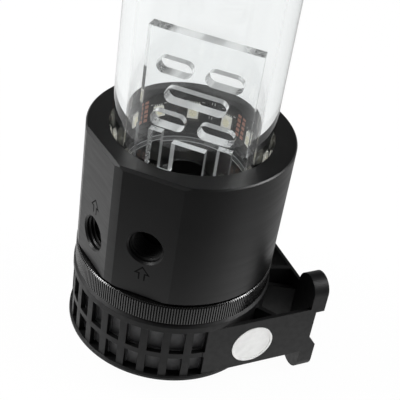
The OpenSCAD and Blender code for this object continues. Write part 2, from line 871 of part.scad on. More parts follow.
// The half of the bracket on the +Y side
module bracket_half() {
    translate([arm_x, arm_y - arm_t, arm_z]) cube([arm_end - arm_x, arm_t, window_top - arm_z]);
    translate([plate_x, -merge, arm_z]) cube([plate_t, arm_y + merge, plate_top - arm_z]);
    translate([plate_x, ear_y, ear_high_z]) rotate([90, 0, 90]) linear_extrude(height = ear_depth)
        ear_outline(-ear_drop, 0);
    intersection() {
        translate([plate_x, ear_y, ear_low_z]) rotate([90, 0, 90]) linear_extrude(height = ear_depth)
            ear_outline(0, shelf_rise);
        translate([0, arm_y + overcut, ear_low_z]) rotate([90, 0, 0])
            linear_extrude(height = 2 * ear_r + 2 * overcut) polygon([
                [plate_x - overcut, -ear_r - overcut], [ear_back + overcut, -ear_r - overcut],
                [ear_back + overcut, shelf_rise - shelf_fall], [ear_back, shelf_rise - shelf_fall],
                [arm_end, shelf_rise - merge], [plate_x - overcut, shelf_rise - merge]
            ]);
    }
    rib(mid_rib_az, mid_rib_lean, plate_run(mid_rib_az, mid_rib_lean), plate_top);
    rib(side_rib_az, side_rib_lean, plate_run(side_rib_az, side_rib_lean), window_top);
    rib(corner_rib_az, corner_rib_az, arm_run(corner_rib_az), window_top);
}

// Windowed cage with arms, ribs and the bracket plate
module pump_holder() {
    color("#2b2b2d") difference() {
        union() {
            cage_blank();
            difference() {
                for (side = [0, 1]) mirror([0, side, 0]) bracket_half();
                disc(cage_r - merge, 0, holder_top);
                disc(ring_r + 4 * fit, holder_top - merge, body_top);
            }
        }
        for (i = [0 : window_cols - 1]) window_column(i);
        for (y = [-ear_y, ear_y], z = [ear_low_z, ear_high_z]) translate([ear_back - insert_len, y, z])
            rotate([0, 90, 0]) cylinder(r = insert_r + slip, h = insert_len + overcut);
        translate([badge_x, -arm_y + badge_sink, badge_z]) rotate([90, 0, 0])
            cylinder(d = badge_d + 2 * fit, h = badge_sink + overcut);
    }
}

// Rubber sleeve between the motor and the cage, with a belt, and ribs behind the cage's bars
module damper_sleeve() {
    color("#3a3a3c") {
        tube_ring(sleeve_base_r, sleeve_in_r, arm_z, sleeve_top);
        tube_ring(sleeve_out_r, sleeve_base_r - merge, window_top, sleeve_top);
        tube_ring(sleeve_out_r, sleeve_base_r - merge, belt_z, belt_z + belt_t);
        for (i = [-1 : window_cols - 1]) rotate([0, 0, first_window_az - (i + 0.5) * window_pitch])
            translate([sleeve_in_r + merge, -sleeve_rib_w / 2, arm_z + merge])
                cube([sleeve_out_r - slip - sleeve_in_r - merge, sleeve_rib_w, window_top - arm_z]);
    }
}

// Threaded inserts in the ears
module ear_inserts() {
    color("#b08d3f") for (y = [-ear_y, ear_y], z = [ear_low_z, ear_high_z])
        translate([ear_back - insert_len, y, z]) rotate([0, 90, 0]) difference() {
            cylinder(r = insert_r, h = insert_len);
            translate([0, 0, -overcut]) cylinder(r = insert_bore_r, h = insert_len + 2 * overcut);
        }
}

// Bare badge disc with a thin raised rim, let into the arm on the -Y side
module badge() {
    color("#f1f1ef") translate([badge_x, -arm_y + badge_sink, badge_z]) rotate([90, 0, 0]) difference() {
        cylinder(d = badge_d, h = badge_t);
        translate([0, 0, badge_t - badge_rim_h]) cylinder(d = badge_d - 2 * badge_rim_w, h = overcut);
    }
}

reservoir_body();
reservoir_tube();
tube_lower_seal();
tube_upper_seal();
top_cap();
fill_plug();
fill_plug_seal();
baffle_plate();
led_strip();
led_chips();
led_resistors();
led_cable_grommet();
pump_seal();
impeller();
rotor_magnet();
bearing_cup();
bearing_ball();
bearing_post();
separating_can();
motor_housing();
stator_core();
stator_coils();
circuit_board();
board_parts();
motor_end_cap();
end_cap_screws();
pump_cable_gland();
retaining_ring();
pump_holder();
damper_sleeve();
ear_inserts();
badge();
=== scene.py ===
"""Looks of a coolant pump reservoir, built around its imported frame."""

import json
import math

import bmesh
import bpy
from mathutils import Matrix, Vector
from mathutils.bvhtree import BVHTree


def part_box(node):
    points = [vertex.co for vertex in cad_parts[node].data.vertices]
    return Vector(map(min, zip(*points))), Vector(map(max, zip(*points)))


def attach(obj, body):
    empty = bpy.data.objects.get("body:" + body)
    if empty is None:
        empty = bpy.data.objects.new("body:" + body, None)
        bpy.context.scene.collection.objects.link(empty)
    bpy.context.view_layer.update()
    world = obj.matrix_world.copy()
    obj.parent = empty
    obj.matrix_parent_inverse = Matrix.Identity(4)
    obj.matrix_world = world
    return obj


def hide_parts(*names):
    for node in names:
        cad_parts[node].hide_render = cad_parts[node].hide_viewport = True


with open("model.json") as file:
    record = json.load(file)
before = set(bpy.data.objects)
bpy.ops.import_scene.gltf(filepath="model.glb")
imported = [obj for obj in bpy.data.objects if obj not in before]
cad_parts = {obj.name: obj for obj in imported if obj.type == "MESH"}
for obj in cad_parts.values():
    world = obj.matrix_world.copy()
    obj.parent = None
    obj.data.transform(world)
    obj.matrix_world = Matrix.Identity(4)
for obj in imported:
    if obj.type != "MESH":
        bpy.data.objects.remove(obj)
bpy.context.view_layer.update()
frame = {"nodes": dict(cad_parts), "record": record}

MM = 0.001
NODES = frame["nodes"]
MOUNTS = {m["name"]: m for m in frame["record"]["mounts"]}
HOUSING = "housing"

# Acrylic: how fast the tube darkens by its thickness, the chamfer of its foot, and the share of frost that is
# left on the plate's upright cuts and on its cuts above the notches
ACRYLIC_IOR = 1.49
TUBE_DENSITY = 45
CHAMFER = 0.5 * MM
UPRIGHT_FROST = 0.3
MILLED_FROST = 0.4
NOTCH_REACH = 18.5 * MM         # over the plate's foot
DARK_PATCH_START, DARK_PATCH_FULL = 12.5 * MM, 14 * MM    # from the plate's middle line

# How near the other wall of a groove in dark metal is for painted shade to darken it
GROOVE_REACH = 0.6 * MM

# Light strip: its film, the chips with their lenses and contacts, and what lies between them. The chips stand
# below the strip's middle line. A size is (thickness, width, height). Copper pads take every third gap.
STRIP_FILM = 0.3 * MM
CHIPS, FIRST_CHIP = 12, 63      # the second in degrees
CHIP, CHIP_T, CHIP_DROP = 5 * MM, 1.6 * MM, 1.3 * MM
LENS_R, LENS_DEPTH = 1.9 * MM, 0.15 * MM
BUTTON_TIP = 0.0001 * MM        # the ring that closes a button's face
CONTACTS, CONTACT_PITCH, CONTACT_RISE = 4, 1.15 * MM, 2.85 * MM
CONTACT = (0.2 * MM, 0.55 * MM, 0.8 * MM)
PAD_EVERY, PAD_ROWS, PAD_PITCH, PAD_AWAY = 3, 5, 2.05 * MM, 1.7 * MM
PAD = (0.04 * MM, 2.3 * MM, 1.5 * MM)
TICK_AWAY, TICK_RISE = 3.6 * MM, 3.4 * MM
TICK = (0.03 * MM, 1.3 * MM, 0.3 * MM)
RESISTOR_RISE = 2.6 * MM
RESISTOR, RESISTOR_END = (0.45 * MM, 1 * MM, 0.8 * MM), (0.47 * MM, 0.3 * MM, 0.82 * MM)

# Pieces that stand in for nodes of the frame
STANDS_FOR = {"led_cases": "led_chips", "strip_resistors": "led_resistors"}

# Threads of the ports, G1/4: the ridge from its root, sunk a little into the bore's wall, to its flat crest
THREAD_PITCH, THREAD_CREST, THREAD_SINK = 1.337 * MM, 5.79 * MM, 0.03 * MM
THREAD_START = 0.6              # of a pitch, below the port's mouth
THREAD_ROOT_HALF, THREAD_CREST_HALF = 0.48, 0.07    # half widths, in pitches
THREAD_STEPS = 40               # points in a turn

# Arrows on the port flats: the outline of one that is 1 high and points up, and its place from its port
ARROW_POINTS = [(-0.18, -0.5), (-0.18, 0), (-0.44, 0), (0, 0.5), (0.44, 0), (0.18, 0), (0.18, -0.5)]
ARROW, ARROW_LINE, ARROW_DEPTH = 6 * MM, 0.5 * MM, 0.03 * MM
OUT_ARROW_RISE, IN_ARROW_RISE = 12.5 * MM, -11.9 * MM
ARROW_START = 20 * MM           # how far outside the flat its place is looked for from

# ---------------------------------------------------------------- camera, floor and light

CAMERA_DISTANCE = 300 * MM      # from the tube's axis
CAMERA_HEIGHT = 288.3 * MM
CAMERA_AZIMUTH = -117.7         # degrees round the axis
CAMERA_PAN = 1.334
CAMERA_TILT = 36.02
CAMERA_ROLL = 9.463
CAMERA_LENS = 86.16
SENSOR_WIDTH = 36
NEAR_CLIP, FAR_CLIP = 10 * MM, 50
RIGHT_AZIMUTH = 10              # the side that looks dimmer in gloss
LIGHT_AIM = 80 * MM             # the height that the lights face
FLOOR_DROP = 0.2 * MM           # under the object's foot


def direction(azimuth, elevation=0):
    """A unit vector from degrees round the axis and degrees above the floor."""
    a, e = math.radians(azimuth), math.radians(elevation)
    return Vector((math.cos(a) * math.cos(e), math.sin(a) * math.cos(e), math.sin(e)))


def make_camera():
    """A camera that looks down on the ports' side, rolled as a hand-held product shot."""
    roll = math.radians(CAMERA_ROLL)
    forward = direction(CAMERA_AZIMUTH + 180 - CAMERA_PAN, -CAMERA_TILT)
    level = forward.cross(Vector((0, 0, 1))).normalized()
    raised = level.cross(forward)
    right = level * math.cos(roll) + raised * math.sin(roll)
    up = raised * math.cos(roll) - level * math.sin(roll)
    data = bpy.data.cameras.new("camera")
    data.lens, data.sensor_width = CAMERA_LENS, SENSOR_WIDTH
    data.clip_start, data.clip_end = NEAR_CLIP, FAR_CLIP
    camera = bpy.data.objects.new("camera", data)
    camera.matrix_world = Matrix((right, up, -forward)).transposed().to_4x4()
    camera.location = direction(CAMERA_AZIMUTH) * CAMERA_DISTANCE + Vector((0, 0, CAMERA_HEIGHT))
    bpy.context.scene.collection.objects.link(camera)
    bpy.context.scene.camera = camera


def value_node(tree, operation, *inputs):
    """A math node on links or numbers."""
    node = tree.nodes.new("ShaderNodeMath")
    node.operation = operation
    for socket, value in zip(node.inputs, inputs):
        if isinstance(value, (int, float)):
            socket.default_value = value
        else:
            tree.links.new(value, socket)
    return node.outputs[0]


def ramp_node(tree, value, start, end, low, high):
    """A smooth change from low to high while a value goes from start to end."""
    node = tree.nodes.new("ShaderNodeMapRange")
    node.interpolation_type = "SMOOTHSTEP"
    for socket, number in (("From Min", start), ("From Max", end), ("To Min", low), ("To Max", high)):
        node.inputs[socket].default_value = number
    tree.links.new(value, node.inputs["Value"])
    return node.outputs[0]


def towards(tree, vector, azimuth):
    """How far a vector reaches towards an azimuth, level with the floor."""
    dot = tree.nodes.new("ShaderNodeVectorMath")
    dot.operation = "DOT_PRODUCT"
    dot.inputs[1].default_value = direction(azimuth)
    tree.links.new(vector, dot.inputs[0])
    return dot.outputs["Value"]


def mirror_rays(tree, path):
    """One for rays that a glossy face throws back, and none for those that glass lets through."""
    passed = value_node(tree, "SUBTRACT", 1.0, path.outputs["Is Transmission Ray"])
    return value_node(tree, "MULTIPLY", path.outputs["Is Glossy Ray"], passed)


def make_world(light=0.4, horizon=0.8, zenith=0.05, front=0.08, right=0.5, haze=0.08):
    """A white surround, seen directly and through glass. In gloss it darkens overhead, in front and on the
    right, and gloss behind glass gets a little more of it."""
    world = bpy.data.worlds.new("studio")
    bpy.context.scene.world = world
    world.use_nodes = True
    tree = world.node_tree
    tree.nodes.clear()
    path = tree.nodes.new("ShaderNodeLightPath")
    coords = tree.nodes.new("ShaderNodeTexCoord").outputs["Generated"]
    split = tree.nodes.new("ShaderNodeSeparateXYZ")
    tree.links.new(coords, split.inputs[0])
    fade = ramp_node(tree, split.outputs["Z"], 0.1, 0.6, horizon, zenith)
    dark_front = ramp_node(tree, towards(tree, coords, CAMERA_AZIMUTH), 0.1, 0.7, 1, front)
    dark_right = ramp_node(tree, towards(tree, coords, RIGHT_AZIMUTH), 0.3, 0.8, 1, right)
    mirrored = value_node(tree, "MULTIPLY", fade, value_node(tree, "MULTIPLY", dark_front, dark_right))
    thrown = value_node(tree, "MINIMUM", path.outputs["Glossy Depth"], 1)
    passed = path.outputs["Is Transmission Ray"]
    in_gloss = value_node(tree, "MULTIPLY_ADD", passed, haze, mirrored)
    direct = value_node(tree, "MAXIMUM", path.outputs["Is Camera Ray"], passed)
    seen = value_node(tree, "MAXIMUM", direct, mirror_rays(tree, path))
    clear = value_node(tree, "MULTIPLY_ADD", value_node(tree, "SUBTRACT", in_gloss, 1), thrown, 1)
    unlit = value_node(tree, "MULTIPLY", value_node(tree, "SUBTRACT", 1, seen), light)
    shader = tree.nodes.new("ShaderNodeBackground")
    shader.inputs["Color"].default_value = (1, 1, 1, 1)
    out = tree.nodes.new("ShaderNodeOutputWorld")
    tree.links.new(value_node(tree, "MULTIPLY_ADD", seen, clear, unlit), shader.inputs["Strength"])
    tree.links.new(shader.outputs[0], out.inputs[0])


def make_floor(size=3.0, color=0.95, glow=0.97):
    """A plain white floor. Part of its white is its own, so that the shadow stays soft,
    and its mirror image in glossy faces ends a hand's breadth in front of the object."""
    mesh = bpy.data.meshes.new("floor")
    half = size / 2
    corners = [(-half, -half, 0), (half, -half, 0), (half, half, 0), (-half, half, 0)]
    mesh.from_pydata(corners, [], [(0, 1, 2, 3)])
    floor = bpy.data.objects.new("floor", mesh)
    floor.location.z = -FLOOR_DROP
    bpy.context.scene.collection.objects.link(floor)
    material = bpy.data.materials.new("floor_white")
    material.use_nodes = True
    tree = material.node_tree
    shader = tree.nodes["Principled BSDF"]
    shader.inputs["Base Color"].default_value = (color, color, color, 1)
    shader.inputs["Roughness"].default_value = 0.8
    shader.inputs["Specular IOR Level"].default_value = 0.1
    path = tree.nodes.new("ShaderNodeLightPath")
    place = tree.nodes.new("ShaderNodeTexCoord").outputs["Object"]
    mirrored = value_node(
        tree, "MULTIPLY", ramp_node(tree, towards(tree, place, CAMERA_AZIMUTH), 0.05, 0.13, 1, 0.2),
        ramp_node(tree, towards(tree, place, RIGHT_AZIMUTH), 0.04, 0.12, 1, 0.5),
    )
    glossy = mirror_rays(tree, path)
    seen = value_node(tree, "MAXIMUM", path.outputs["Is Camera Ray"], path.outputs["Is Transmission Ray"])
    share = value_node(tree, "MAXIMUM", value_node(tree, "MULTIPLY", seen, glow), glossy)
    loss = value_node(tree, "MULTIPLY", glossy, value_node(tree, "SUBTRACT", 1.0, mirrored))
    glowing = tree.nodes.new("ShaderNodeEmission")
    tree.links.new(value_node(tree, "SUBTRACT", 1.0, loss), glowing.inputs["Strength"])
    mix = tree.nodes.new("ShaderNodeMixShader")
    tree.links.new(share, mix.inputs[0])
    tree.links.new(shader.outputs[0], mix.inputs[1])
    tree.links.new(glowing.outputs[0], mix.inputs[2])
    tree.links.new(mix.outputs[0], tree.nodes["Material Output"].inputs["Surface"])
    floor.data.materials.append(material)


def softbox(name, azimuth, elevation, distance, size, power, gleam=False):
    """A square area light that faces the object. A gleam is seen in gloss alone, and the others are not."""
    data = bpy.data.lights.new(name, "AREA")
    data.shape, data.size, data.energy = "SQUARE", size, power
    light = bpy.data.objects.new(name, data)
    aim = Vector((0, 0, LIGHT_AIM))
    light.location = aim + distance * direction(azimuth, elevation)
    light.rotation_euler = (aim - light.location).to_track_quat("-Z", "Y").to_euler()
    light.visible_glossy = gleam
    light.visible_diffuse = light.visible_transmission = not gleam
    bpy.context.scene.collection.objects.link(light)


# ---------------------------------------------------------------- materials


class Surface:
    """A principled material with helpers for procedural detail, in object coordinates."""

    def __init__(self, name, color, roughness, metallic=0.0, specular=0.5):
        self.material = bpy.data.materials.new(name)
        self.material.use_nodes = True
        self.tree = self.material.node_tree
        self.shader = self.tree.nodes["Principled BSDF"]
        self.color = color
        self.set("Base Color", (*color, 1))
        self.set("Roughness", roughness)
        self.set("Metallic", metallic)
        self.set("Specular IOR Level", specular)
        self.coords = self.tree.nodes.new("ShaderNodeTexCoord").outputs["Object"]

    def node(self, kind, **values):
        node = self.tree.nodes.new("ShaderNode" + kind)
        for key, value in values.items():
            setattr(node, key, value)
        return node

    def link(self, a, b):
        self.tree.links.new(a, b)

    def set(self, socket, value):
        self.shader.inputs[socket].default_value = value

    def noise(self, size_mm, detail=3.0, coords=None):
        node = self.node("TexNoise")
        node.inputs["Scale"].default_value = 1 / (size_mm * MM)
        node.inputs["Detail"].default_value = detail
        self.link(coords or self.coords, node.inputs["Vector"])
        return node.outputs["Fac"]

    def spread(self, value, low, high, start=0.3, end=0.7):
        node = self.node("MapRange")
        for socket, number in (("From Min", start), ("From Max", end), ("To Min", low), ("To Max", high)):
            node.inputs[socket].default_value = number
        self.link(value, node.inputs["Value"])
        return node.outputs[0]

    def product(self, a, b):
        return value_node(self.tree, "MULTIPLY", a, b)

    def facing(self, axis):
        """How squarely a face looks along an axis, either way."""
        dot = self.node("VectorMath", operation="DOT_PRODUCT")
        dot.inputs[1].default_value = axis
        self.link(self.node("NewGeometry").outputs["True Normal"], dot.inputs[0])
        return value_node(self.tree, "ABSOLUTE", dot.outputs["Value"])

    def blend_color(self, factor, dark, light):
        node = self.node("Mix", data_type="RGBA")
        node.inputs["A"].default_value = (*dark, 1)
        node.inputs["B"].default_value = (*light, 1)
        self.link(factor, node.inputs["Factor"])
        return node.outputs["Result"]

    def radial(self):
        """Coordinates (distance from the axis, height, 0), for turned surfaces."""
        flat = self.node("VectorMath", operation="MULTIPLY")
        flat.inputs[1].default_value = (1, 1, 0)
        self.link(self.coords, flat.inputs[0])
        reach = self.node("VectorMath", operation="LENGTH")
        self.link(flat.outputs["Vector"], reach.inputs[0])
        split, join = self.node("SeparateXYZ"), self.node("CombineXYZ")
        self.link(self.coords, split.inputs[0])
        self.link(reach.outputs["Value"], join.inputs["X"])
        self.link(split.outputs["Z"], join.inputs["Y"])
        return join.outputs[0]

    def mottle(self, size_mm, amount):
        """Soft changes of the base colour, amount as a share."""
        dark = tuple(c * (1 - amount) for c in self.color)
        light = tuple(min(1, c * (1 + amount)) for c in self.color)
        factor = self.spread(self.noise(size_mm), 0, 1)
        self.link(self.blend_color(factor, dark, light), self.shader.inputs["Base Color"])
        return self

    def uneven_gloss(self, size_mm, low, high, coords=None):
        self.link(self.spread(self.noise(size_mm, 2, coords), low, high), self.shader.inputs["Roughness"])
        return self

    def bump(self, heights, depth_mm):
        node = self.node("Bump")
        node.inputs["Strength"].default_value = 1
        node.inputs["Distance"].default_value = depth_mm * MM
        self.link(heights, node.inputs["Height"])
        previous = self.shader.inputs["Normal"]
        if previous.is_linked:
            self.link(previous.links[0].from_socket, node.inputs["Normal"])
        self.link(node.outputs[0], previous)
        return self

    def soft_edges(self, radius_mm):
        node = self.node("Bevel", samples=4)
        node.inputs["Radius"].default_value = radius_mm * MM
        self.link(node.outputs[0], self.shader.inputs["Normal"])
        return self


def turned_plastic(name, color):
    s = Surface(name, color, 0.4, specular=0.35)
    s.soft_edges(0.12)
    ring = s.radial()
    s.bump(s.noise(0.35, 2, ring), 0.003).bump(s.noise(0.12, 2), 0.002)
    return s.mottle(9, 0.12).uneven_gloss(1.6, 0.34, 0.42, ring).material


def moulded_plastic(name, color, grain_mm=0.25, depth=0.012, rough=(0.42, 0.55), specular=0.4):
    s = Surface(name, color, 0.5, specular=specular)
    s.soft_edges(0.25)
    s.bump(s.noise(grain_mm, 2), depth)
    return s.mottle(6, 0.1).uneven_gloss(2.5, *rough).material


def anodised(name, color, rough=(0.2, 0.3), ior=1.75):
    """Black anodised metal, with painted shade in its narrow grooves."""
    s = Surface(name, color, 0.25)
    s.set("IOR", ior)
    s.bump(s.noise(0.15, 2), 0.002)
    s.mottle(3, 0.2).uneven_gloss(1.2, *rough)
    # Painted shade: where ambient occlusion finds a groove's other wall near, the gloss gives way to a flat
    # dark diffuse
    shade = s.node("AmbientOcclusion", samples=8)
    shade.inputs["Distance"].default_value = GROOVE_REACH
    painted_groove_shade = s.node("BsdfDiffuse")
    painted_groove_shade.inputs["Color"].default_value = (*color, 1)
    mix = s.node("MixShader")
    s.link(s.spread(shade.outputs["AO"], 0, 1, 0.62, 0.9), mix.inputs[0])
    s.link(painted_groove_shade.outputs[0], mix.inputs[1])
    s.link(s.shader.outputs[0], mix.inputs[2])
    s.link(mix.outputs[0], s.tree.nodes["Material Output"].inputs["Surface"])
    return s.material


def rubber(name, color, rough=(0.65, 0.85), specular=0.3):
    s = Surface(name, color, 0.75, specular=specular)
    s.bump(s.noise(0.18, 3), 0.01)
    return s.mottle(2, 0.15).uneven_gloss(1.5, *rough).material


def metal(name, color, rough=(0.22, 0.34), brushed_mm=0.25):
    s = Surface(name, color, 0.3, metallic=1.0)
    s.bump(s.noise(brushed_mm, 2, s.radial()), 0.003)
    return s.mottle(2.5, 0.08).uneven_gloss(0.8, *rough).material


def glazed(name, color, rough=(0.15, 0.25), size_mm=1.5):
    s = Surface(name, color, 0.2)
    s.bump(s.noise(size_mm, 2), 0.002)
    return s.mottle(size_mm * 2, 0.05).uneven_gloss(size_mm, *rough).material


def clear_acrylic(name, tint, haze=0.006):
    s = Surface(name, tint, 0.02)
    s.set("Transmission Weight", 1.0)
    s.set("IOR", ACRYLIC_IOR)
    s.bump(s.noise(22, 1), 0.004)
    s.link(s.spread(s.noise(8, 2), 0.0, haze), s.shader.inputs["Roughness"])
    return s


def frost(s, share, tone, glow):
    """Mixes a frosted saw-cut finish, with a painted glow of its own, into clear acrylic."""
    cut = s.node("BsdfPrincipled")
    cut.inputs["Roughness"].default_value = 0.45
    cut.inputs["Transmission Weight"].default_value = 0.45
    cut.inputs["IOR"].default_value = ACRYLIC_IOR
    # Painted glow on the cut faces
    cut.inputs["Emission Color"].default_value = (0.97, 1.0, 1.0, 1)
    s.link(tone, cut.inputs["Base Color"])
    s.link(glow, cut.inputs["Emission Strength"])
    mix = s.node("MixShader")
    s.link(share, mix.inputs[0])
    s.link(s.shader.outputs[0], mix.inputs[1])
    s.link(cut.outputs[0], mix.inputs[2])
    s.link(mix.outputs[0], s.tree.nodes["Material Output"].inputs["Surface"])
    return s.material


def tube_acrylic(name, foot):
    """The tube: sawn ends, and a fine rough chamfer round its foot at height foot, whose frost carries a
    painted glow.
    """
    s = clear_acrylic(name, (0.98, 0.984, 0.984))
    volume = s.node("VolumeAbsorption")
    volume.inputs["Color"].default_value = (0.9, 0.93, 0.93, 1)
    volume.inputs["Density"].default_value = TUBE_DENSITY
    s.link(volume.outputs[0], s.tree.nodes["Material Output"].inputs["Volume"])
    split = s.node("SeparateXYZ")
    s.link(s.coords, split.inputs[0])
    chamfer = s.spread(split.outputs["Z"], 0.8, 0, foot + CHAMFER * 0.8, foot + CHAMFER)
    ends = s.spread(s.facing((0, 0, 1)), 0, 0.35, 0.4, 0.6)
    grain = s.noise(0.35, 3)
    share = value_node(s.tree, "MAXIMUM", chamfer, ends)
    # Painted glow on the chamfer, so that the foot shows a bright line
    return frost(s, share, s.spread(grain, 0.5, 0.75), s.product(s.spread(grain, 0.12, 0.22), chamfer))


def plate_acrylic(name, across, along, sawn):
    """A plate that lies across one axis and along another. Its cuts are frosted, most of all where they lie
    level and below the height sawn, and carry a painted glow. Towards the plate's far sides they turn darker
    in speckled patches, where the glow is less too."""
    s = clear_acrylic(name, (0.98, 0.99, 0.99))
    level = s.spread(s.facing((0, 0, 1)), UPRIGHT_FROST, 1, 0.3, 0.9)
    split = s.node("SeparateXYZ")
    s.link(s.coords, split.inputs[0])
    depth = s.spread(split.outputs["Z"], 1, MILLED_FROST, sawn - 1 * MM, sawn)
    cuts = s.product(s.product(s.spread(s.facing(across), 1, 0, 0.4, 0.6), level), depth)
    bottom = sawn - NOTCH_REACH
    foot = s.spread(split.outputs["Z"], 1, 0, bottom + CHAMFER, bottom + 1.5 * CHAMFER)
    share = value_node(s.tree, "MAXIMUM", cuts, foot)
    side = s.node("VectorMath", operation="DOT_PRODUCT")
    side.inputs[1].default_value = along
    s.link(s.coords, side.inputs[0])
    far = value_node(s.tree, "ABSOLUTE", side.outputs["Value"])
    # Darker speckled patches towards the far sides, which also dim the painted glow
    patches = s.spread(s.noise(0.8, 4), 0, 1, 0.42, 0.55)
    dark_patches = s.product(s.spread(far, 0, 1, DARK_PATCH_START, DARK_PATCH_FULL), patches)
    left = s.spread(dark_patches, 1, 0.25, 0, 1)
    grain = s.noise(0.35, 3)
    tone = s.product(s.spread(grain, 0.75, 0.98), left)
    # Painted glow on the cuts, following the grain
    return frost(s, share, tone, s.product(s.spread(grain, 0.2, 0.4), left))


def glowing(name, color, strength, rough=(0.3, 0.45)):
    """A pale moulded face with a painted glow: a little light of its own, though it is no lamp."""
    s = Surface(name, color, 0.3)
    s.set("Emission Color", (*color, 1))
    s.set("Emission Strength", strength)
    s.bump(s.noise(0.4, 2), 0.004)
    return s.mottle(1.2, 0.08).uneven_gloss(0.9, *rough).material


def finish_node(material, *names):
    """Gives nodes of the frame one material."""
    for name in names:
        mesh = NODES[name].data
        mesh.materials.clear()
        mesh.materials.append(material)


# ---------------------------------------------------------------- pieces


def new_piece(name, material, shape):
    """A piece of the housing, with its faces turned outward."""
    mesh = bpy.data.meshes.new(name)
    mesh.from_pydata([tuple(v) for v in shape.vertices], [], shape.faces)
    build = bmesh.new()
    build.from_mesh(mesh)
    bmesh.ops.recalc_face_normals(build, faces=build.faces)
    build.to_mesh(mesh)
    build.free()
    mesh.materials.append(material)
    piece = bpy.data.objects.new(name, mesh)
    bpy.context.scene.collection.objects.link(piece)
    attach(piece, HOUSING)
    return piece


def round_ring(place, half, depth, roundness, steps=32):
    """Points round +X of place at one depth, on a square (0), a circle (1) or between."""
    points = []
    for i in range(steps):
        a = 2 * math.pi * i / steps
        square = half / max(abs(math.cos(a)), abs(math.sin(a)))
        reach = square + (half - square) * roundness
        points.append(place @ Vector((depth, reach * math.cos(a), reach * math.sin(a))))
    return points


class Shape:
    """Collects the vertices and faces of one piece."""

    def __init__(self):
        self.vertices, self.faces = [], []

    def add(self, points, faces, place=Matrix()):
        base = len(self.vertices)
        self.vertices += [place @ Vector(p) for p in points]
        self.faces += [[base + i for i in face] for face in faces]

    def block(self, size, centre, place=Matrix()):
        """A box with its sides along place's axes."""
        hx, hy, hz = (s / 2 for s in size)
        corners = [(x, y, z) for x in (-hx, hx) for y in (-hy, hy) for z in (-hz, hz)]
        faces = [(0, 1, 3, 2), (4, 6, 7, 5), (0, 4, 5, 1), (2, 3, 7, 6), (0, 2, 6, 4), (1, 5, 7, 3)]
        self.add([Vector(corner) + Vector(centre) for corner in corners], faces, place)

    def sweep(self, rings):
        """Joins equal rings of points into one closed skin."""
        count = len(rings[0])
        points = [p for ring in rings for p in ring]
        faces = []
        for start in range(0, len(points) - count, count):
            for j in range(count):
                k = (j + 1) % count
                faces.append((start + j, start + k, start + count + k, start + count + j))
        faces += [tuple(range(count)), tuple(range(len(points) - count, len(points)))]
        self.add(points, faces)

    def button(self, radius, thickness, place, rim=0.2, steps=24):
        """A low disc with a rounded rim, its face towards +X of place."""
        flat = radius * (1 - rim)
        profile = [(radius, 0), (radius, thickness / 2), (flat, thickness), (BUTTON_TIP, thickness)]
        self.sweep([round_ring(place, r, x, 1, steps) for r, x in profile])


def turned_to(azimuth, height=0.0):
    """A frame whose +X points outward at an azimuth, at a height."""
    return Matrix.Translation((0, 0, height)) @ Matrix.Rotation(math.radians(azimuth), 4, "Z")


def port_frame(mount):
    """A frame at a port's mouth, +X out of the port, +Z up."""
    axis = Vector(mount["axis"])
    half = mount["dims"]["length_mm"] / 2 * MM
    mouth = Vector(mount["pos_m"]) + axis * half
    return Matrix.Translation(mouth) @ Matrix.Rotation(math.atan2(axis.y, axis.x), 4, "Z")


def port_thread(name, material):
    """The ridge of a thread on a port's wall, which rises out of it in its first turn."""
    mount = MOUNTS[name]
    root = mount["dims"]["r_mm"] * MM + THREAD_SINK
    turns = (mount["dims"]["length_mm"] * MM - THREAD_PITCH) / THREAD_PITCH
    place = port_frame(mount)
    rings = []
    for i in range(int(turns * THREAD_STEPS)):
        turn = i / THREAD_STEPS
        depth = -(THREAD_START + turn) * THREAD_PITCH
        tip = root + (THREAD_CREST - root) * min(1, turn)
        across, up = math.cos(2 * math.pi * turn), math.sin(2 * math.pi * turn)
        ring = []
        for r, half in ((root, -THREAD_ROOT_HALF), (tip, -THREAD_CREST_HALF),
                        (tip, THREAD_CREST_HALF), (root, THREAD_ROOT_HALF)):
            ring.append(place @ Vector((depth + half * THREAD_PITCH, r * across, r * up)))
        rings.append(ring)
    shape = Shape()
    shape.sweep(rings)
    new_piece(name + "_thread", material, shape)


def light_chip(shape, place, back):
    """A chip's case, its face towards the axis, with a round well."""
    face, half = back - CHIP_T, CHIP / 2
    outline = (
        (half, back, 0), (half, face + LENS_DEPTH, 0), (half - LENS_DEPTH, face, 0),
        (LENS_R, face, 1), (LENS_R - LENS_DEPTH, face + LENS_DEPTH, 1),
    )
    shape.sweep([round_ring(place, *ring) for ring in outline])


def on_film(shape, size, film, azimuth, across, height):
    """A block that lies on the film's inner side, at a distance along it from an azimuth."""
    here = turned_to(azimuth + math.degrees(across / film), height)
    shape.block(size, (film - size[0] / 2, 0, 0), here)


